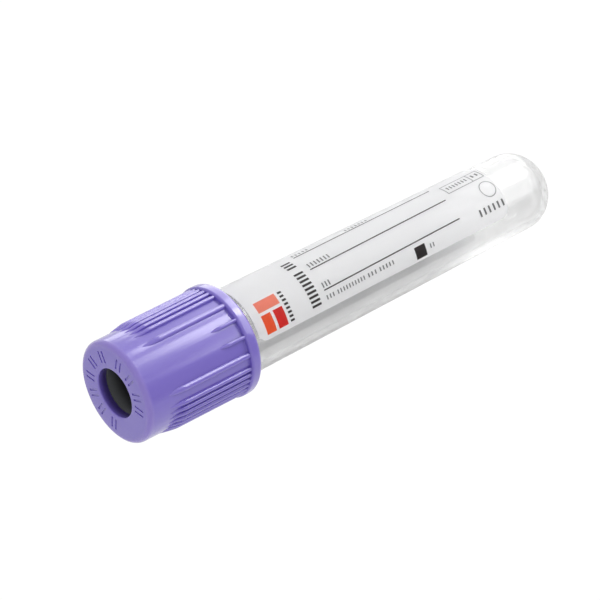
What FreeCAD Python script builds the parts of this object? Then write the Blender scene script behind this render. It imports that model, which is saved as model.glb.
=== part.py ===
import FreeCAD, Part
import math
import os
from FreeCAD import Vector

# Blood collection tube, in millimetres, stood on its cap. The tube's axis is Z, with the cap's
# front face at z = 0 and the tube's round end at the top. An angle round the axis is counted from
# -Y, where the middle of one of the cap's smooth panels is, and runs towards +X.

# tube: moulded with a slight draft, with a round end
tubeLength = 75.0
tubeMouthDiameter = 13.0
tubeDraft = 0.7             # how much narrower the tube is at its round end
tubeWall = 1.0
rimRounding = 0.35
gateDiameter = 1.6          # mark left by the mould's gate at the pole
gateHeight = 0.15
gateFlat = 0.4              # flat ring round the gate mark

# cap: a one-piece ribbed shield that carries the stopper and hangs over the tube's mouth
capLength = 19.3
capWall = 1.02
capDraft = 0.1              # growth of the radius from the nose to the flange
capNoseRounding = 0.75
capFaceWall = 1.38
rimStandoff = 7.5           # from the front face to the tube's rim
portDiameter = 7.3
portRounding = 0.12
skirtClearance = 0.1        # between the skirt's bore and the tube
skirtLeadIn = 0.4
flangeStand = 0.83          # how far the flange stands out of the nose
flangeThickness = 1.8
flangeRounding = 0.35
flangeRearRounding = 0.6    # at the skirt's open end
retainerHeight = 0.25       # ring inside the cap that keeps the stopper in
retainerHalfWidth = 0.6
retainerRounding = 0.25

# grips of the cap: smooth panels, each framed by two border ribs and with two fins at the flange,
# and fine ribs between the panels
panelCount = 2
ribHeight = 0.5
ribStart = 3.3
ribRamp = 2.6
ribRampRounding = 5.0
ribPitch = 7.7
ribWidth = 0.62
borderOffset = 29.0
borderWidth = 0.92
finOffset = 9.5
finLength = 4.4
finRamp = 1.5
finRampRounding = 2.0
finWidth = 0.56

# stopper: rubber, with its head in the cap and its plug in the tube's mouth
stopperClearance = 0.05     # to the cap's bore and to the tube's bore
stopperRounding = 0.3
wellInset = 0.15            # the well's edge inside the port's edge
wellDepth = 2.4
wellFloorDiameter = 4.0
wellFloorRounding = 1.6
plugLength = 6.8
plugWaist = 0.25            # how far the plug stands back between its sealing rings
plugWall = 2.0
plugNose = 0.8
ringCount = 2
ringHalfWidth = 0.9
ringRounding = 0.6
recessDepth = 4.6
recessRounding = 2.2

# label: a film round the tube, with a clear window left between its two long edges
labelCapGap = 1.5
labelEndGap = 5.5           # to where the round end starts
labelWidth = 29.0
labelEdgeAngle = 28.5
labelThickness = 0.1
labelGlue = 0.02
labelCornerRadius = 1.5

origin = Vector(0, 0, 0)
up = Vector(0, 0, 1)

mouthZ = rimStandoff
mouthRadius = tubeMouthDiameter / 2
endRadius = mouthRadius - tubeDraft / 2
poleZ = mouthZ + tubeLength - gateHeight
domeRounding = endRadius - gateDiameter / 2 - gateFlat
boreRadius = mouthRadius + skirtClearance
noseRadius = boreRadius + capWall
flangeZ = capLength - flangeThickness
flangeRadius = noseRadius + flangeStand
retainerZ = (capFaceWall + mouthZ) / 2


def tubeRadius(z):
    """Outer radius of the drafted tube at z."""
    return mouthRadius - tubeDraft / 2 * (z - mouthZ) / (poleZ - mouthZ)


def outline(corners, closed=True):
    """Wire in the half-plane of X and Z through corners of (z, radius, rounding)."""
    points = [Vector(radius, 0, z) for z, radius, _ in corners]
    starts, arcs, ends = [], [], []
    for i, point in enumerate(points):
        rounding = corners[i][2]
        if not rounding:
            starts.append(point)
            ends.append(point)
            arcs.append(None)
            continue
        before = (points[i - 1] - point).normalize()
        after = (points[(i + 1) % len(points)] - point).normalize()
        half = before.getAngle(after) / 2
        setback = rounding / math.tan(half)
        middle = (before + after).normalize() * (rounding / math.sin(half) - rounding)
        starts.append(point + before * setback)
        ends.append(point + after * setback)
        arcs.append(Part.Arc(starts[-1], point + middle, ends[-1]).toShape())
    edges = []
    for i, arc in enumerate(arcs):
        if arc:
            edges.append(arc)
        if i == len(points) - 1 and not closed:
            break
        following = starts[(i + 1) % len(points)]
        if not ends[i].isEqual(following, 1e-6):
            edges.append(Part.LineSegment(ends[i], following).toShape())
    return Part.Wire(edges)


def turned(corners, sweep=360):
    """Solid of revolution round the tube's axis."""
    return Part.Face(outline(corners)).revolve(origin, up, sweep)


def placed(shape, angle):
    """A copy of a shape that was made on +X, turned to that angle from -Y."""
    copy = shape.copy()
    copy.rotate(origin, up, angle - 90)
    return copy


def bump(z, radius, height, halfWidth, rounding):
    """Corners of a ring that stands out of a round wall, or of a groove in it."""
    return [
        (z - halfWidth, radius, 0),
        (z, radius + height, rounding),
        (z + halfWidth, radius, 0),
    ]


def makeTube():
    gateRadius = gateDiameter / 2
    floorZ = poleZ - tubeWall
    return turned([
        (poleZ + gateHeight, 0, 0),
        (poleZ + gateHeight, gateRadius, gateHeight / 2),
        (poleZ, gateRadius, 0),
        (poleZ, endRadius, domeRounding),
        (mouthZ, mouthRadius, rimRounding),
        (mouthZ, mouthRadius - tubeWall, rimRounding),
        (floorZ, tubeRadius(floorZ) - tubeWall, domeRounding - tubeWall),
        (floorZ, 0, 0),
    ])


def makeStopper():
    headRadius = boreRadius - stopperClearance
    wellRadius = portDiameter / 2 - wellInset
    plugZ = mouthZ + plugLength

    def waistRadius(z):
        return tubeRadius(z) - tubeWall - stopperClearance - plugWaist

    ringPitch = (plugLength - plugNose) / ringCount
    rings = []
    for i in range(ringCount):
        z = mouthZ + (i + 0.5) * ringPitch
        rings += bump(z, waistRadius(z), plugWaist, ringHalfWidth, ringRounding)
    recessRadius = waistRadius(plugZ) - plugWall
    return turned([
        (capFaceWall + wellDepth, 0, 0),
        (capFaceWall + wellDepth, wellFloorDiameter / 2, wellFloorRounding),
        (capFaceWall, wellRadius, stopperRounding),
        (capFaceWall, headRadius, 0),
        *bump(retainerZ, headRadius, -retainerHeight, retainerHalfWidth, retainerRounding),
        (mouthZ, headRadius, 0),
        (mouthZ, waistRadius(mouthZ), 0),
        *rings,
        (plugZ, waistRadius(plugZ), plugNose),
        (plugZ, recessRadius, stopperRounding),
        (plugZ - recessDepth, recessRadius, recessRounding),
        (plugZ - recessDepth, 0, 0),
    ])


def rib(start, ramp, rampRounding, width, frontTop, rearTop):
    """A round-topped rib on +X that rises out of the wall at start and runs into the flange."""
    rootRadius = noseRadius - capWall / 4
    slope = (frontTop - noseRadius) / ramp
    rootZ = start - (noseRadius - rootRadius) / slope
    crest = outline([
        (rootZ, rootRadius, 0),
        (start + ramp, frontTop, rampRounding),
        (flangeZ + flangeThickness / 2, rearTop, 0),
    ], closed=False)
    # the section stands square to the crest's first stretch
    outward = Vector(1, 0, -slope).normalize()
    across = Vector(0, width / 2, 0)
    top = Vector(rootRadius, 0, rootZ)
    shoulder = top - outward * (width / 2)
    # deep enough to stay in the wall under the crest, and not so deep that it reaches the bore
    foot = top - outward * (ribHeight + capWall / 5)
    section = Part.Wire([
        Part.Arc(shoulder - across, top, shoulder + across).toShape(),
        Part.LineSegment(shoulder + across, foot + across).toShape(),
        Part.LineSegment(foot + across, foot - across).toShape(),
        Part.LineSegment(foot - across, shoulder - across).toShape(),
    ])
    return crest.makePipeShell([section], True, True)


def makeRibs():
    top = noseRadius + ribHeight
    grip = (ribStart, ribRamp, ribRampRounding)
    fine = rib(*grip, ribWidth, top, top + capDraft)
    border = rib(*grip, borderWidth, top, top + capDraft)
    finTop = flangeRadius - flangeRounding / 3
    fin = rib(flangeZ - finLength, finRamp, finRampRounding, finWidth, top, finTop)
    panelPitch = 360 / panelCount
    # between two panels' borders: a wide valley, the fine ribs, and a wide valley again
    fineStart = borderOffset + 2 * ribPitch
    fineSpan = panelPitch - 2 * fineStart
    fineGaps = round(fineSpan / ribPitch)
    ribs = []
    for panel in range(panelCount):
        middle = panel * panelPitch
        for side in (-1, 1):
            ribs.append(placed(fin, middle + side * finOffset))
            ribs.append(placed(border, middle + side * borderOffset))
        for i in range(fineGaps + 1):
            ribs.append(placed(fine, middle + fineStart + i * fineSpan / fineGaps))
    return ribs


def makeCap():
    port = portDiameter / 2
    retainer = bump(retainerZ, boreRadius, -retainerHeight, retainerHalfWidth, retainerRounding)
    shell = turned([
        (0, port, portRounding),
        (0, noseRadius, capNoseRounding),
        (flangeZ, noseRadius + capDraft, 0),
        (flangeZ, flangeRadius, flangeRounding),
        (capLength, flangeRadius, flangeRearRounding),
        (capLength, boreRadius + skirtLeadIn, 0),
        (capLength - skirtLeadIn, boreRadius, 0),
        *reversed(retainer),
        (capFaceWall, boreRadius, 0),
        (capFaceWall, port, 0),
    ])
    return shell.multiFuse(makeRibs()).removeSplitter()


def makeLabel():
    low = capLength + labelCapGap
    high = poleZ - endRadius - labelEndGap
    outer = labelGlue + labelThickness
    wrap = math.degrees(labelWidth / (tubeRadius((low + high) / 2) + outer))
    sheet = placed(turned([
        (low, tubeRadius(low) + labelGlue, 0),
        (low, tubeRadius(low) + outer, 0),
        (high, tubeRadius(high) + outer, 0),
        (high, tubeRadius(high) + labelGlue, 0),
    ], wrap), labelEdgeAngle - wrap)
    # each corner is rounded by a punch that points at the axis
    for z, inwards in ((low, 1), (high, -1)):
        setback = math.degrees(labelCornerRadius / (tubeRadius(z) + outer))
        pinZ = z + inwards * labelCornerRadius
        for angle, side in ((labelEdgeAngle - setback, 1), (labelEdgeAngle - wrap + setback, -1)):
            size = 2 * labelCornerRadius
            block = Part.makeBox(
                mouthRadius, size, size,
                Vector(endRadius / 2, min(0, side * size), min(pinZ, pinZ - inwards * size)))
            pin = Part.makeCylinder(
                labelCornerRadius, mouthRadius, Vector(endRadius / 2, 0, pinZ), Vector(1, 0, 0))
            sheet = sheet.cut(placed(block.cut(pin), angle))
    return sheet


pieces = {
    "tube": makeTube(),
    "stopper": makeStopper(),
    "cap": makeCap(),
    "label": makeLabel(),
}
os.makedirs("parts", exist_ok=True)
for name, shape in pieces.items():
    solid = shape.Solids[0]
    print(name, len(shape.Solids), solid.isValid(), round(solid.Volume, 2), len(solid.Faces), solid.BoundBox)
    solid.exportStep("parts/" + name + ".step")
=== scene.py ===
import math
import bpy
from mathutils import Matrix, Vector


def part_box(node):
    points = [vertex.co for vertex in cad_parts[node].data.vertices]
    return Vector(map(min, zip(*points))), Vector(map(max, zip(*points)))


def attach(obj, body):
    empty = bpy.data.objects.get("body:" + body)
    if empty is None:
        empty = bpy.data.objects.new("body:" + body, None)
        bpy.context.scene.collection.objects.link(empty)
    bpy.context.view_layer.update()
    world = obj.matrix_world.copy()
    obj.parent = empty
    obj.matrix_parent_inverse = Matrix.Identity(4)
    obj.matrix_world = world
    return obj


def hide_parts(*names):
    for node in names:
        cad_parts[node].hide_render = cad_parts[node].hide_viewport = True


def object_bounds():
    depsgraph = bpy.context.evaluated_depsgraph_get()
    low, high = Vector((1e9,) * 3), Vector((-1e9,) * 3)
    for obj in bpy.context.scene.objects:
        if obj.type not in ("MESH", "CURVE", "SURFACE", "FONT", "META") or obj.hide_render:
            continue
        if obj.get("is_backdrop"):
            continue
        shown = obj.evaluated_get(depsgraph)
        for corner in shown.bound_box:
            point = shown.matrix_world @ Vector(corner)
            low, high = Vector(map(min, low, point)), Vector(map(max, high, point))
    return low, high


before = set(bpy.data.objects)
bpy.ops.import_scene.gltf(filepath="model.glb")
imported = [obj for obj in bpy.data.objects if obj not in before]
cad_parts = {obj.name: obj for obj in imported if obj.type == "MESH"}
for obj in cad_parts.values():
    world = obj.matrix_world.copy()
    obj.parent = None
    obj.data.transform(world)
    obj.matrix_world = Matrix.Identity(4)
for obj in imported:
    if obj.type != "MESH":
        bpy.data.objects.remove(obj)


def noteSize():
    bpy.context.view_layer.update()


noteSize()
mm = 0.001
mergeReach = 1e-6
# from +X round to the middle of the cap's first smooth panel, in degrees
panelTurn = -90
# how much the tube's radius shrinks from its mouth to its round end
tubeDraft = 0.35 * mm
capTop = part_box("cap")[1].z
tubeLow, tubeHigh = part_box("tube")
labelLow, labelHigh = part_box("label")
tubeMouthRadius = (tubeHigh.x - tubeLow.x) / 2


def tubeRadius(height):
    return tubeMouthRadius - tubeDraft * (height - tubeLow.z) / (tubeHigh.z - tubeLow.z)


print("frame loaded, overall height", round(tubeHigh.z / mm, 2), "mm")


# a value on its way through a material, so that shader maths reads as plain expressions
class Wire:
    def __init__(self, finish, socket):
        self.finish = finish
        self.socket = socket

    def __add__(self, other):
        return self.finish.maths("ADD", self, other)

    def __radd__(self, other):
        return self.finish.maths("ADD", other, self)

    def __sub__(self, other):
        return self.finish.maths("SUBTRACT", self, other)

    def __rsub__(self, other):
        return self.finish.maths("SUBTRACT", other, self)

    def __mul__(self, other):
        return self.finish.maths("MULTIPLY", self, other)

    def __rmul__(self, other):
        return self.finish.maths("MULTIPLY", other, self)

    def __gt__(self, other):
        return self.finish.maths("GREATER_THAN", self, other)

    def __lt__(self, other):
        return self.finish.maths("LESS_THAN", self, other)

    def __abs__(self):
        return self.finish.maths("ABSOLUTE", self)


# a material or world: its shader, and the nodes that lead to it
class Finish:
    def __init__(self, owner, shader, settings):
        owner.use_nodes = True
        self.owner = owner
        self.tree = owner.node_tree
        self.shader = self.tree.nodes[shader]
        for socket, value in settings.items():
            self.shader.inputs[socket].default_value = value

    def put(self, value, socket):
        if isinstance(value, Wire):
            self.tree.links.new(value.socket, socket)
        else:
            socket.default_value = value

    # one node of any kind: its settings first, then its sockets by position or name
    def node(self, kind, settings, *values, out=0, **named):
        made = self.tree.nodes.new("ShaderNode" + kind)
        for key, value in settings.items():
            setattr(made, key, value)
        for i, value in enumerate(values):
            self.put(value, made.inputs[i])
        for key, value in named.items():
            self.put(value, made.inputs[key])
        return Wire(self, made.outputs[out])

    def maths(self, operation, *values):
        return self.node("Math", {"operation": operation}, *values)

    def place(self):
        return self.node("TexCoord", {}, out=3)    # Object coordinates

    def split(self, vector):
        made = self.node("SeparateXYZ", {}, vector).socket.node
        return [Wire(self, socket) for socket in made.outputs]

    def noise(self, scale, detail):
        return self.node("TexNoise", {}, Vector=self.place(), Scale=scale, Detail=detail)

    # the Mix node keeps its colours in sockets 6 and 7, and gives them out at 2
    def mix(self, factor, first, second):
        made = self.tree.nodes.new("ShaderNodeMix")
        made.data_type = "RGBA"
        self.put(factor, made.inputs[0])
        self.put(first, made.inputs[6])
        self.put(second, made.inputs[7])
        return Wire(self, made.outputs[2])

    # 0 at the first value, the full amount at the last, and smooth between them
    def fade(self, value, first, last, full=1.0):
        return self.node(
            "MapRange", {"interpolation_type": "SMOOTHSTEP"}, value, first, last, 0.0, full)

    def into(self, value, socket):
        self.put(value, self.shader.inputs[socket])

    def bump(self, height, strength, distance):
        lifted = self.node("Bump", {}, Strength=strength, Distance=distance, Height=height)
        self.into(lifted, "Normal")

    # a fine noise that varies the roughness and lifts the surface
    def grain(self, noise, roughness, spread, strength, distance):
        speckle = self.noise(*noise)
        self.into(speckle * spread + (roughness - spread / 2), "Roughness")
        self.bump(speckle, strength, distance)


def newFinish(name, settings):
    return Finish(bpy.data.materials.new(name), "Principled BSDF", settings)


def deselect():
    bpy.ops.object.select_all(action="DESELECT")


def pick(piece):
    deselect()
    piece.select_set(True)
    bpy.context.view_layer.objects.active = piece


def smooth(piece, degrees):
    pick(piece)
    bpy.ops.object.shade_smooth_by_angle(angle=math.radians(degrees))


def edit(action):
    bpy.ops.object.mode_set(mode="EDIT")
    bpy.ops.mesh.select_all(action=action)


def finishEdit():
    bpy.ops.mesh.select_all(action="SELECT")
    bpy.ops.mesh.normals_make_consistent(inside=False)
    bpy.ops.object.mode_set(mode="OBJECT")


# from +X to an angle that counts from the middle of the cap's first smooth panel
def turnTo(piece, angle):
    piece.rotation_euler.z = math.radians(angle + panelTurn)
    bpy.ops.object.transform_apply(location=False, rotation=True, scale=False)


def cut(piece, tool):
    pick(piece)
    carve = piece.modifiers.new("carve", "BOOLEAN")
    carve.object = tool
    carve.operation = "DIFFERENCE"
    carve.solver = "EXACT"
    bpy.ops.object.modifier_apply(modifier=carve.name)
    bpy.data.objects.remove(tool)


# the CAD node's own surface, merged and shaded smooth
def smoothCopy(node, name, degrees):
    piece = bpy.data.objects.new(name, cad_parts[node].data.copy())
    bpy.context.scene.collection.objects.link(piece)
    pick(piece)
    edit("SELECT")
    bpy.ops.mesh.remove_doubles(threshold=mergeReach)
    bpy.ops.object.mode_set(mode="OBJECT")
    piece.data.materials.clear()
    smooth(piece, degrees)
    return piece


# corners of (radius, height, rounding) turned into the points of a smooth profile, all in metres
def profile(corners, arcSteps):
    points = [Vector((radius, 0, height)) for radius, height, _ in corners]
    path = []
    for i, point in enumerate(points):
        rounding = corners[i][2]
        if not rounding:
            path.append(point)
            continue
        before = (points[i - 1] - point).normalized()
        after = (points[(i + 1) % len(points)] - point).normalized()
        half = before.angle(after) / 2
        middle = point + (before + after).normalized() * (rounding / math.sin(half))
        first = point + before * (rounding / math.tan(half)) - middle
        last = point + after * (rounding / math.tan(half)) - middle
        sweep = first.angle(last)
        for k in range(arcSteps + 1):
            part = k / arcSteps
            swung = first * math.sin((1 - part) * sweep) + last * math.sin(part * sweep)
            path.append(middle + swung / math.sin(sweep))
    return path


# a line drawn point by point, left open for editing
def drawn(path):
    deselect()
    bpy.ops.mesh.primitive_plane_add(size=mm)
    piece = bpy.context.object
    edit("SELECT")
    bpy.ops.mesh.merge(type="CENTER")
    bpy.ops.transform.translate(value=path[0])
    for here, following in zip(path, path[1:]):
        bpy.ops.mesh.extrude_region_move(TRANSFORM_OT_translate={"value": following - here})
    bpy.ops.mesh.select_all(action="SELECT")
    return piece


# a drawn profile, spun round the tube's axis
def spun(name, path, steps, degrees, sweep=360):
    piece = drawn(path)
    piece.name = name
    bpy.ops.mesh.spin(steps=steps, angle=math.radians(sweep), center=(0, 0, 0), axis=(0, 0, 1))
    bpy.ops.mesh.select_all(action="SELECT")
    bpy.ops.mesh.remove_doubles(threshold=2 * mergeReach)
    finishEdit()
    smooth(piece, degrees)
    return piece


# tube: as in the pieces below, a noise is given as (scale, detail) and smoothing in degrees
tubeLook = {
    "length": 75.0 * mm,
    "wall": 1.0 * mm,
    "rimRounding": 0.33 * mm,
    "gateRadius": 0.8 * mm,
    "gateHeight": 0.15 * mm,
    "gateFlat": 0.4 * mm,
    "steps": 160,
    "arcSteps": 14,
    "smoothing": 40,
    "plastic": {
        "Base Color": (0.963, 0.965, 0.965, 1),
        "Roughness": 0.03,
        "IOR": 1.4,
        "Transmission Weight": 1.0,
        "Specular IOR Level": 0.24,
        "Alpha": 0.7,
    },
    "flow": (190, 2),
    "flowStrength": 0.006,
    "flowDistance": 0.4 * mm,
}


def makeTube(look):
    mouth = tubeLow.z
    pole = mouth + look["length"] - look["gateHeight"]
    outer = tubeMouthRadius
    end = outer - tubeDraft
    dome = end - look["gateRadius"] - look["gateFlat"]
    innerEnd = end - look["wall"]
    floor = pole - look["wall"]
    path = profile([
        (0, pole + look["gateHeight"], 0),
        (look["gateRadius"], pole + look["gateHeight"], look["gateHeight"] / 2),
        (look["gateRadius"], pole, 0),
        (end, pole, dome),
        (outer, mouth, look["rimRounding"]),
        (outer - look["wall"], mouth, look["rimRounding"]),
        (innerEnd, floor, dome - look["wall"]),
        (0, floor, 0),
    ], look["arcSteps"])
    piece = spun("clearTube", path, look["steps"], look["smoothing"])
    clear = newFinish("clearPlastic", look["plastic"])
    clear.bump(clear.noise(*look["flow"]), look["flowStrength"], look["flowDistance"])
    piece.data.materials.append(clear.owner)
    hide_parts("tube")
    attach(piece, "barrel")


makeTube(tubeLook)
print("tube done")

# stopper: painted shade in its dished front: between the two rim heights the colour goes from the
# rubber's own at the lit rim to a painted dark shade deeper in the well, and the coat fades with it
stopperLook = {
    "smoothing": 32,
    "color": (0.035, 0.038, 0.04, 1),
    "worn": (0.05, 0.054, 0.057, 1),
    # painted shade deep in the well
    "deep": (0.002, 0.002, 0.003, 1),
    "rimFrom": 1.5 * mm,
    "rimTo": 3.3 * mm,
    "rimShine": 0.5,
    "mottle": (240, 2),
    "rubber": {"Specular IOR Level": 0.1, "Coat Roughness": 0.3},
    "grain": {
        "noise": (1400, 4), "roughness": 0.4, "spread": 0.14,
        "strength": 0.08, "distance": 0.05 * mm,
    },
}


def makeStopper(look):
    piece = smoothCopy("stopper", "rubberStopper", look["smoothing"])
    rubber = newFinish("butylRubber", look["rubber"])
    height = rubber.split(rubber.place())[2]
    # painted shade: 1 at the rim, 0 deeper in the well, where the colour turns to the painted dark
    # shade
    rim = 1 - rubber.fade(height, look["rimFrom"], look["rimTo"])
    color = rubber.mix(rubber.noise(*look["mottle"]), look["color"], look["worn"])
    rubber.into(rubber.mix(rim, look["deep"], color), "Base Color")
    rubber.into(rim * look["rimShine"], "Coat Weight")
    rubber.grain(**look["grain"])
    piece.data.materials.append(rubber.owner)
    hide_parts("stopper")
    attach(piece, "closure")


makeStopper(stopperLook)
print("stopper done")

# cap: a turned shell, ribs swept along their crests, and a ring of plain dashes round the port
capLook = {
    "color": (0.198, 0.14, 0.595, 1),
    "deeper": (0.18, 0.127, 0.57, 1),
    # painted highlight along the rounded front rim
    "rimHighlight": (0.25, 0.18, 0.61, 1),
    "rimDepth": 1.1 * mm,
    # painted shade: ambient occlusion within cornerReach turns corners towards this colour
    "corner": (0.13, 0.085, 0.47, 1),
    # painted shade on the port's inner wall
    "inside": (0.06, 0.038, 0.20, 1),
    "cornerReach": 0.5 * mm,
    "cornerSamples": 8,
    "mottle": (160, 3),
    "plastic": {
        "Specular IOR Level": 0.35,
        "Coat Weight": 1.0,
        "Coat IOR": 1.6,
        "Coat Roughness": 0.14,
        "Subsurface Weight": 0.15,
        "Subsurface Radius": (1.0, 0.8, 1.3),
        "Subsurface Scale": 0.6 * mm,
    },
    "grain": {
        "noise": (2600, 3), "roughness": 0.34, "spread": 0.1,
        "strength": 0.04, "distance": 0.03 * mm,
    },
    "bore": 6.6 * mm,
    "nose": 7.62 * mm,
    "draft": 0.1 * mm,
    "noseRounding": 0.75 * mm,
    "port": 3.65 * mm,
    "portRounding": 0.2 * mm,
    "faceWall": 1.38 * mm,
    "leadIn": 0.4 * mm,
    "flange": 1.8 * mm,
    "flangeFillet": 0.12 * mm,
    "flangeRounding": 0.35 * mm,
    "flangeRearRounding": 0.6 * mm,
    "steps": 192,
    "arcSteps": 8,
    "turnedSmoothing": 40,
    "smoothing": 38,
    "panels": 2,
}
# ribs: pitch and offsets are degrees round the axis, the offsets from the middle of a smooth panel
ribLook = {
    "height": 0.5 * mm,
    "depth": 0.45 * mm,
    "rootDepth": 0.06 * mm,
    "start": 3.3 * mm,
    "ramp": 2.6 * mm,
    "rampRounding": 5.0 * mm,
    "pitch": 7.7,
    "fineWidth": 0.62 * mm,
    "borderWidth": 0.92 * mm,
    "borderOffset": 29.0,
    "finWidth": 0.56 * mm,
    "finOffset": 9.5,
    "finLength": 4.4 * mm,
    "finRamp": 1.5 * mm,
    "finRampRounding": 2.0 * mm,
    "tipWidth": 0.35,
    "tipLength": 1.8 * mm,
    "corners": 20,
    "arcSteps": 10,
    "crestStep": 0.35 * mm,
    "mostSteps": 6,
}
# marks: pairs of dashes engraved round the port, at these places in degrees, less the turn
markLook = {
    "places": (183, 213, 240, 268, 298, 330, 10, 38, 65, 88),
    "radius": 5.35 * mm,
    "length": 1.8 * mm,
    "width": 0.3 * mm,
    "spread": 0.42 * mm,
    "depth": 0.14 * mm,
    "turn": 43.5,
    "bevel": 0.08 * mm,
    "bevelSteps": 2,
}


def makeMarks(look):
    marks = []
    for place in look["places"]:
        angle = math.radians(place - look["turn"])
        outward = Vector((math.sin(angle), -math.cos(angle), 0))
        across = Vector((-outward.y, outward.x, 0))
        for side in (-1, 1):
            deselect()
            centre = outward * look["radius"] + across * look["spread"] * side
            bpy.ops.mesh.primitive_cube_add(size=1, location=centre)
            mark = bpy.context.object
            mark.scale = (look["width"], look["length"], 2 * look["depth"])
            mark.rotation_euler.z = angle
            bpy.ops.object.transform_apply(location=True, rotation=True, scale=True)
            edit("SELECT")
            bpy.ops.mesh.bevel(offset=look["bevel"], segments=look["bevelSteps"])
            bpy.ops.object.mode_set(mode="OBJECT")
            marks.append(mark)
    for mark in marks:
        mark.select_set(True)
    bpy.ops.object.join()
    return bpy.context.object


# one rib on +X: its round-topped section is extruded along the crest, and widens from its tip
def makeRib(crest, width, look):
    deselect()
    bpy.ops.mesh.primitive_circle_add(
        vertices=look["corners"], radius=width / 2, fill_type="NGON", location=(0, 0, 0))
    rib = bpy.context.object
    edit("DESELECT")
    bpy.ops.object.mode_set(mode="OBJECT")
    for vertex in rib.data.vertices:
        vertex.select = vertex.co.x < -mergeReach / 10
    bpy.ops.object.mode_set(mode="EDIT")
    bpy.ops.transform.resize(value=(0, 1, 1), center_override=(-look["depth"], 0, 0))
    bpy.ops.mesh.select_all(action="SELECT")
    middle = crest[0] - Vector((width / 2, 0, 0))
    bpy.ops.transform.translate(value=middle)
    reach = 0
    share = look["tipWidth"]
    bpy.ops.transform.resize(value=(1, share, 1), center_override=middle)
    for here, following in zip(crest, crest[1:]):
        step = following - here
        middle = middle + step
        reach += step.length
        wanted = min(1, look["tipWidth"] + (1 - look["tipWidth"]) * reach / look["tipLength"])
        bpy.ops.mesh.extrude_region_move(TRANSFORM_OT_translate={"value": step})
        bpy.ops.transform.resize(value=(1, wanted / share, 1), center_override=middle)
        share = wanted
    finishEdit()
    return rib


def turnedCopy(piece, angle):
    copy = piece.copy()
    copy.data = piece.data.copy()
    bpy.context.scene.collection.objects.link(copy)
    pick(copy)
    turnTo(copy, angle)
    return copy


def makeRibs(cap, look):
    flangeZ = capTop - cap["flange"]
    top = cap["nose"] + look["height"]
    root = cap["nose"] - look["rootDepth"]
    landing = flangeZ + cap["flange"] / 2

    def crest(start, ramp, rounding, rearTop):
        path = profile([
            (root, start - (cap["nose"] - root) * ramp / look["height"], 0),
            (top, start + ramp, rounding),
            (rearTop, landing, 0),
        ], look["arcSteps"])
        stepped = [path[0]]
        for following in path[1:]:
            here = stepped[-1]
            count = max(1, round((following - here).length / look["crestStep"]))
            count = min(count, look["mostSteps"])
            for k in range(1, count + 1):
                stepped.append(here.lerp(following, k / count))
        return stepped

    grip = (look["start"], look["ramp"], look["rampRounding"], top + cap["draft"])
    # the fins end just inside the flange's rounded edge
    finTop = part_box("cap")[1].x - cap["flangeRounding"] / 3
    finCrest = crest(flangeZ - look["finLength"], look["finRamp"], look["finRampRounding"], finTop)
    fine = makeRib(crest(*grip), look["fineWidth"], look)
    border = makeRib(crest(*grip), look["borderWidth"], look)
    fin = makeRib(finCrest, look["finWidth"], look)
    pitch = 360 / cap["panels"]
    fineStart = look["borderOffset"] + 2 * look["pitch"]
    span = pitch - 2 * fineStart
    gaps = round(span / look["pitch"])
    ribs = []
    for panel in range(cap["panels"]):
        middle = panel * pitch
        for side in (-1, 1):
            ribs.append(turnedCopy(fin, middle + side * look["finOffset"]))
            ribs.append(turnedCopy(border, middle + side * look["borderOffset"]))
        for i in range(gaps + 1):
            ribs.append(turnedCopy(fine, middle + fineStart + i * span / gaps))
    for pattern in (fine, border, fin):
        bpy.data.objects.remove(pattern)
    return ribs


def capShape(look):
    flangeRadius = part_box("cap")[1].x
    flangeZ = capTop - look["flange"]
    path = profile([
        (look["port"], 0, look["portRounding"]),
        (look["nose"], 0, look["noseRounding"]),
        (look["nose"] + look["draft"], flangeZ, look["flangeFillet"]),
        (flangeRadius, flangeZ, look["flangeRounding"]),
        (flangeRadius, capTop, look["flangeRearRounding"]),
        (look["bore"] + look["leadIn"], capTop, 0),
        (look["bore"], capTop - look["leadIn"], 0),
        (look["bore"], look["faceWall"], 0),
        (look["port"], look["faceWall"], 0),
    ], look["arcSteps"])
    piece = spun("ribbedCap", path + [path[0]], look["steps"], look["turnedSmoothing"])
    cut(piece, makeMarks(markLook))
    # with the shell's faces deselected, the union below joins the ribs to it
    pick(piece)
    edit("DESELECT")
    bpy.ops.object.mode_set(mode="OBJECT")
    ribs = makeRibs(look, ribLook)
    pick(piece)
    for rib in ribs:
        rib.select_set(True)
    bpy.ops.object.join()
    bpy.ops.object.mode_set(mode="EDIT")
    bpy.ops.mesh.intersect_boolean(operation="UNION", solver="EXACT")
    # the seams are selected now
    bpy.ops.mesh.mark_sharp()
    bpy.ops.object.mode_set(mode="OBJECT")
    smooth(piece, look["smoothing"])
    return piece


# painted light and shade: a painted highlight on the front rim, painted shade in corners from
# ambient occlusion, and painted shade on the port's inner wall
def capPlastic(look):
    moulded = newFinish("capPlastic", look["plastic"])
    # painted shade in corners, from ambient occlusion
    openness = moulded.node(
        "AmbientOcclusion", {"samples": look["cornerSamples"], "only_local": True},
        Distance=look["cornerReach"], out=1)
    x, y, z = moulded.split(moulded.place())
    radius = moulded.maths("SQRT", x * x + y * y)
    edge = look["rimDepth"] / 3
    outer = moulded.fade(radius, look["nose"] - look["rimDepth"], look["nose"] - edge)
    front = 1 - moulded.fade(z, edge, look["rimDepth"])
    inner = 1 - moulded.fade(radius, look["port"], look["port"] + edge)
    behind = moulded.fade(z, 0.0, look["rimDepth"])
    color = moulded.mix(moulded.noise(*look["mottle"]), look["deeper"], look["color"])
    # painted highlight on the front rim
    color = moulded.mix(outer * front, color, look["rimHighlight"])
    # painted shade on the port's inner wall
    color = moulded.mix(inner * behind, color, look["inside"])
    # painted shade: occluded places turn to the corner colour
    moulded.into(moulded.mix(openness, look["corner"], color), "Base Color")
    moulded.grain(**look["grain"])
    return moulded.owner


def makeCap(look):
    piece = capShape(look)
    piece.data.materials.append(capPlastic(look))
    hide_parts("cap")
    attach(piece, "closure")


makeCap(capLook)
print("cap done")

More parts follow.
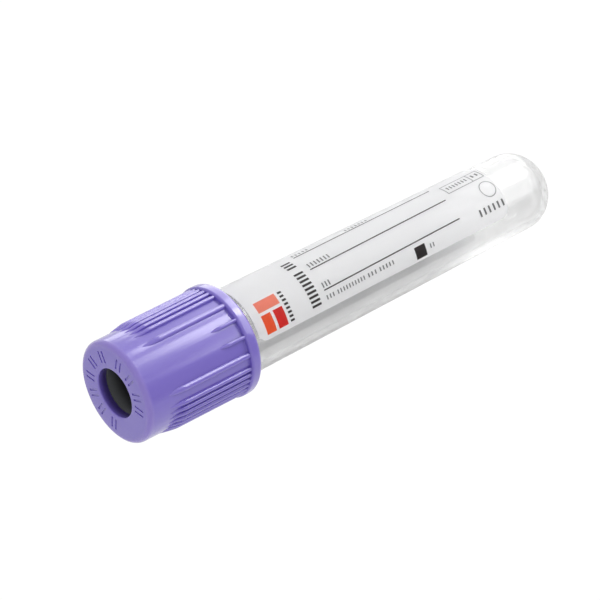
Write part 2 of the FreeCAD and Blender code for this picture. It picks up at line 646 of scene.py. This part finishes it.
# label and its print: every field is (low, high) along the tube in mm and (first, last) round it in
# degrees, where 0 is the middle of the cap's first smooth panel. The print leans by "skew" degrees
# for each mm beyond "skewFrom", and "middleRadius" turns its degrees into mm
labelLook = {
    "paper": (0.985, 0.985, 0.99, 1),
    "paperShade": (0.955, 0.955, 0.965, 1),
    "ink": (0.035, 0.03, 0.03, 1),
    "softInk": (0.17, 0.165, 0.17, 1),
    "paleInk": (0.3, 0.3, 0.31, 1),
    "coral": (1.0, 0.32, 0.22, 1),
    "orange": (0.98, 0.14, 0.045, 1),
    "red": (0.80, 0.035, 0.03, 1),
    "skew": 0.135,
    "skewFrom": 47.0,
    "width": 29.0 * mm,
    "edgeAngle": 28.5,
    "thickness": 0.1 * mm,
    "glue": 0.02 * mm,
    "cornerRadius": 1.5 * mm,
    "cornerSteps": 12,
    "punchSize": 1.002,
    "rows": 24,
    "steps": 150,
    "smoothing": 40,
    "film": {"Specular IOR Level": 0.35, "Transmission Weight": 0.5, "IOR": 1.2},
    "mottle": (120, 2),
    "grain": {
        "noise": (1800, 3), "roughness": 0.5, "spread": 0.12,
        "strength": 0.04, "distance": 0.03 * mm,
    },
    "middleRadius": 6.42,
}
colourBands = {
    "coral": (22.3, 26.2, -23.5, -9.0),
    "orange": (22.3, 24.0, -5.0, 19.5),
    "red": (24.5, 26.2, -5.0, 19.5),
}
inkFields = [
    (33.8, 61.3, -62.2, -60.4), (33.8, 61.3, -29.9, -28.3), (33.8, 61.3, 2.2, 3.8),
    (51.3, 53.4, 9.5, 26.0),
]
paleFields = [
    (62.7, 70.4, -55.4, -54.2), (62.7, 70.4, -36.8, -35.6),
    (62.7, 62.86, -55.4, -35.6), (70.24, 70.4, -55.4, -35.6), (68.0, 68.16, -55.4, -35.6),
]
# rows of plain strokes in the places of words, with the number of strokes last
strokesAlong = [
    (34.0, 38.0, -39.2, -32.2, 7), (33.9, 35.3, -7.0, 0.0, 3), (34.0, 37.0, -70.0, -65.0, 5),
    (44.5, 48.8, -70.0, -65.0, 7), (33.8, 35.2, 10.0, 15.6, 3), (35.9, 41.2, 10.0, 15.6, 10),
    (41.9, 43.5, 10.0, 15.6, 3), (44.2, 47.0, 10.0, 15.6, 5), (54.3, 55.1, 14.0, 20.0, 2),
    (65.2, 70.3, 5.8, 15.6, 6), (63.4, 67.4, -49.0, -42.6, 7), (68.6, 69.8, -49.0, -42.6, 2),
]
strokesAround = [
    (26.7, 27.4, -22.5, 18.5, 8), (30.9, 32.6, -58.0, -43.0, 3), (30.9, 32.6, -33.0, 17.0, 9),
]
# how much of each stroke's pitch is inked
strokeShare = {"along": 0.36, "around": 0.5}
ringMark = {"height": 68.95, "angle": -15.5, "radius": 1.38, "line": 0.07}


# the sliver outside a rounded corner, drawn across the film and then extruded outwards. It ends at
# the radius of the tube's mouth, so it leaves a thin lip on the outer side of the film
def cornerPunch(angle, height, aside, along, look):
    radius = look["cornerRadius"] * look["punchSize"]
    rounded = [Vector((0, aside * radius, along * radius))]
    for k in range(look["cornerSteps"] + 1):
        sweep = math.radians(90) * k / look["cornerSteps"]
        rounded.append(Vector((
            0,
            aside * radius * math.sin(sweep),
            along * radius * math.cos(sweep))))
    reach = tubeMouthRadius / 2
    punch = drawn(rounded + rounded[:1])
    bpy.ops.mesh.remove_doubles(threshold=mergeReach)
    bpy.ops.mesh.select_all(action="SELECT")
    bpy.ops.mesh.edge_face_add()
    bpy.ops.mesh.extrude_region_move(TRANSFORM_OT_translate={"value": (reach, 0, 0)})
    bpy.ops.mesh.select_all(action="SELECT")
    bpy.ops.transform.translate(value=(reach, 0, height))
    finishEdit()
    turnTo(punch, angle)
    return punch


def labelShape(look):
    low, high = labelLow.z, labelHigh.z
    lowRadius = tubeRadius(low) + look["glue"]
    highRadius = tubeRadius(high) + look["glue"]
    wrap = math.degrees(look["width"] / ((lowRadius + highRadius) / 2 + look["thickness"]))
    rows = look["rows"]
    outer = []
    for k in range(rows + 1):
        part = k / rows
        radius = lowRadius + (highRadius - lowRadius) * part + look["thickness"]
        outer.append(Vector((radius, 0, low + (high - low) * part)))
    inward = Vector((-look["thickness"], 0, 0))
    path = outer + [outer[-1] + inward, outer[0] + inward, outer[0]]
    piece = spun("wrappedLabel", path, look["steps"], look["smoothing"], wrap)
    pick(piece)
    edit("DESELECT")
    bpy.ops.mesh.select_non_manifold()
    bpy.ops.mesh.fill_holes(sides=0)
    finishEdit()
    turnTo(piece, look["edgeAngle"])
    corner = look["cornerRadius"]
    punches = []
    for height, along in ((low, -1), (high, 1)):
        setback = math.degrees(corner / (tubeRadius(height) + look["thickness"]))
        for edge, aside in ((look["edgeAngle"], 1), (look["edgeAngle"] - wrap, -1)):
            punches.append(cornerPunch(
                edge - aside * setback, height - along * corner, aside, along, look))
    for punch in punches:
        cut(piece, punch)
    smooth(piece, look["smoothing"])
    return piece


def labelFilm(look):
    film = newFinish("labelFilm", look["film"])
    x, y, z = film.split(film.place())
    height = z * (1 / mm)
    turn = film.maths("ARCTAN2", x, y * -1.0) * (180 / math.pi)
    turn = turn + (height - look["skewFrom"]) * look["skew"]

    def field(low, high, first, last):
        along = (high - low) / 2 - abs(height - (low + high) / 2)
        aside = (last - first) / 2 - abs(turn - (first + last) / 2)
        return film.maths("MINIMUM", along, aside) > 0.0

    def anyOf(fields):
        total = field(*fields[0])
        for each in fields[1:]:
            total = total + field(*each)
        return total > 0.5

    # strokes lie side by side along the value that they divide
    def strokeRow(low, high, first, last, count, value, share):
        begin, end = (low, high) if value is height else (first, last)
        pitch = (end - begin) / (count - 1 + share)
        return field(low, high, first, last) * (
            film.maths("FRACT", (value - begin) * (1 / pitch)) < share)

    def strokeRows(each, value, share):
        total = strokeRow(*each[0], value, share)
        for row in each[1:]:
            total = total + strokeRow(*row, value, share)
        return total > 0.5

    millimetres = math.radians(1) * look["middleRadius"]
    across = (turn - ringMark["angle"]) * millimetres
    upward = height - ringMark["height"]
    reach = film.maths("SQRT", across * across + upward * upward)
    ring = abs(reach - ringMark["radius"]) < ringMark["line"]
    color = film.mix(film.noise(*look["mottle"]), look["paper"], look["paperShade"])
    for name, band in colourBands.items():
        color = film.mix(field(*band), color, look[name])
    along = strokeRows(strokesAlong, height, strokeShare["along"])
    around = strokeRows(strokesAround, turn, strokeShare["around"])
    color = film.mix(along, color, look["softInk"])
    color = film.mix(anyOf(paleFields), color, look["paleInk"])
    color = film.mix(ring, color, look["paleInk"])
    color = film.mix(around, color, look["ink"])
    color = film.mix(anyOf(inkFields), color, look["ink"])
    film.into(color, "Base Color")
    film.grain(**look["grain"])
    return film.owner


def makeLabel(look):
    piece = labelShape(look)
    piece.data.materials.append(labelFilm(look))
    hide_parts("label")
    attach(piece, "barrel")


makeLabel(labelLook)
print("label done")

# floor, below the camera so that it never hides the cap's front face
floorLook = {
    "height": -0.5,
    "size": 8.0,
    "paint": {"Base Color": (0.86, 0.86, 0.86, 1), "Roughness": 0.9},
}
deselect()
bpy.ops.mesh.primitive_plane_add(size=floorLook["size"], location=(0, 0, floorLook["height"]))
floor = bpy.context.object
floor.name = "floor"
paint = newFinish("floorPaint", floorLook["paint"])
floor.data.materials.append(paint.owner)
floor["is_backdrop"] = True

# lights: direction from the object, size, power, and whether each one gives diffuse light and shows
# through clear plastic
lampDistance = 0.5
lightsLook = {
    "overhead": {
        "from": (-0.308, -0.660, 0.685), "size": (0.70, 0.34), "watts": 1.95,
        "diffuse": False, "through": True,
    },
    "side": {
        "from": (-0.735, 0.0, 0.678), "size": (0.80, 0.34), "watts": 1.5,
        "diffuse": False, "through": False,
    },
    "strip": {
        "from": (-0.446, -0.707, 0.549), "size": (0.12, 0.24), "watts": 0.6,
        "diffuse": True, "through": True,
    },
}
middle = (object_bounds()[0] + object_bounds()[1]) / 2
for name, look in lightsLook.items():
    direction = Vector(look["from"]).normalized()
    lamp = bpy.data.lights.new(name, "AREA")
    lamp.shape = "RECTANGLE"
    lamp.size, lamp.size_y = look["size"]
    lamp.energy = look["watts"]
    holder = bpy.data.objects.new(name, lamp)
    holder.location = middle + direction * lampDistance
    holder.rotation_euler = (-direction).to_track_quat("-Z", "Y").to_euler()
    holder.visible_diffuse = look["diffuse"]
    holder.visible_transmission = look["through"]
    bpy.context.scene.collection.objects.link(holder)

# studio: white to the camera, and an even room to everything else. The room is a little dimmer
# behind the object and much dimmer in a patch above and behind the viewer
studioLook = {
    "seen": 1.03,
    "even": 0.95,
    "patches": {
        "backdrop": {"towards": (-0.019, 0.835, 0.549), "from": 0.55, "to": 0.85, "change": -0.09},
        "darkEnd": {"towards": (0.33, -0.72, 0.61), "from": 0.80, "to": 0.93, "change": -0.5},
    },
}
studio = Finish(bpy.data.worlds.new("studio"), "Background", {"Color": (1, 1, 1, 1)})
heading = studio.node("TexCoord", {}, out=0)    # the way that a ray goes
room = studioLook["even"]
for patch in studioLook["patches"].values():
    lean = studio.node("VectorMath", {"operation": "DOT_PRODUCT"}, heading, patch["towards"], out=1)
    room = room + studio.fade(lean, patch["from"], patch["to"], patch["change"])
direct = studio.node("LightPath", {}, out=0)    # 1 for what the camera sees directly
studio.into(direct * studioLook["seen"] + (1 - direct) * room, "Strength")
bpy.context.scene.world = studio.owner
bpy.context.scene.view_settings.view_transform = "Standard"

# camera
cameraLook = {
    "place": (0.00619, -0.26455, -0.1403),
    "lookAlong": (-0.01937, 0.83539, 0.54937),
    "right": (0.46346, -0.47929, 0.74525),
    "lens": 132.07,
    "clip": (0.01, 20),
}
back = -Vector(cameraLook["lookAlong"]).normalized()
right = Vector(cameraLook["right"])
right = (right - back * right.dot(back)).normalized()
above = back.cross(right)
cameraData = bpy.data.cameras.new("camera")
cameraData.lens = cameraLook["lens"]
cameraData.clip_start, cameraData.clip_end = cameraLook["clip"]
camera = bpy.data.objects.new("camera", cameraData)
bpy.context.scene.collection.objects.link(camera)
camera.matrix_world = Matrix((
    (right.x, above.x, back.x, cameraLook["place"][0]),
    (right.y, above.y, back.y, cameraLook["place"][1]),
    (right.z, above.z, back.z, cameraLook["place"][2]),
    (0, 0, 0, 1),
))
bpy.context.scene.camera = camera
print("stage done")

noteSize()
